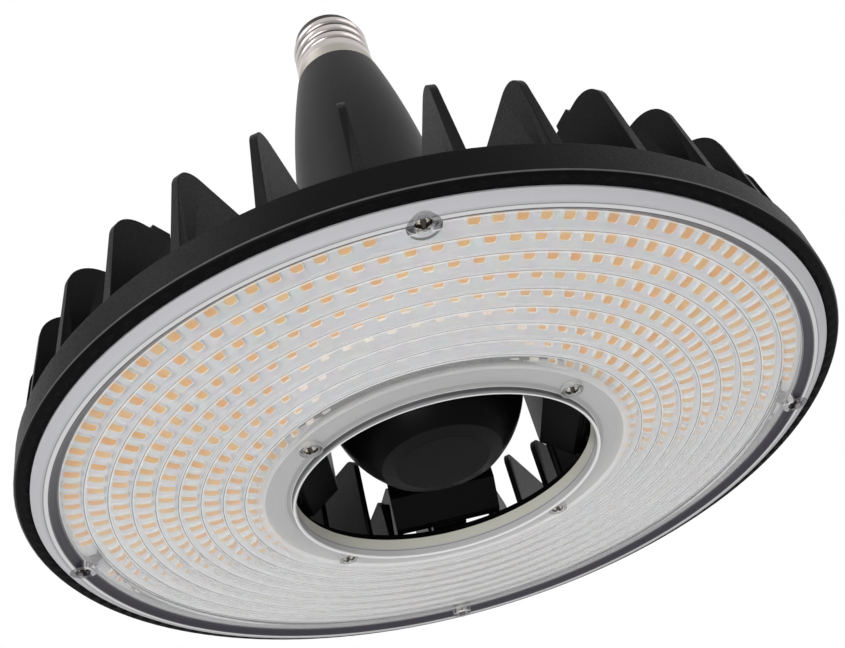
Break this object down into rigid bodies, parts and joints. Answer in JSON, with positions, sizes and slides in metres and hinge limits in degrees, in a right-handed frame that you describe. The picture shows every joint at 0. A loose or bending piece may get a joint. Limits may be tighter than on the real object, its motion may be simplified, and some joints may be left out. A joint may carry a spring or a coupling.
{
  "type": "led high bay lamp",
  "caption": "Retrofit high bay lamp: ridged ring lens over rings of LEDs, finned cast ring, and a tapered driver housing on arms that ends in a large screw cap.",
  "frame": {"origin": "centre of the lens face, on the lamp's axis", "axes": "+Z along the lamp's axis from the lens up to the screw cap; the screws and arms stand 5 degrees on from +X and at quarter turns"},
  "size_m": [0.28, 0.28, 0.2823],
  "materials": {
    "nickel": "nickel plated brass sheet, bright on the thread and matt on the skirt",
    "black_glass": "fused black glass insulator",
    "black_housing": "satin black moulding with a fine grain",
    "black_casting": "black powder coat on die cast aluminium",
    "steel": "zinc plated steel",
    "board_white": "white solder resist on an aluminium circuit board",
    "led_package": "white package with a yellow phosphor window",
    "clear_lens": "clear moulded polycarbonate with concentric ridges",
    "gasket": "black silicone",
    "board_green": "green circuit board",
    "core_grey": "taped ferrite core",
    "can_black": "sleeved capacitor can",
    "copper": "enamelled copper winding"
  },
  "bodies": {
    "root": {"screw_cap": "nickel", "cap_glass": "black_glass", "centre_contact": "nickel", "driver_housing": "black_housing", "bottom_cover": "black_housing", "driver_board": "board_green", "transformer": "core_grey", "driver_capacitors": "can_black", "mains_choke": "copper", "heat_sink": "black_casting", "arm_screws": "steel", "led_board": "board_white", "led_ring_1": "led_package", "led_ring_2": "led_package", "led_ring_3": "led_package", "led_ring_4": "led_package", "led_ring_5": "led_package", "led_ring_6": "led_package", "led_ring_7": "led_package", "led_ring_8": "led_package", "led_ring_9": "led_package", "lens": "clear_lens", "outer_gasket": "gasket", "inner_gasket": "gasket", "outer_lens_screws": "steel", "inner_lens_screws": "steel"}
  },
  "joints": []
}
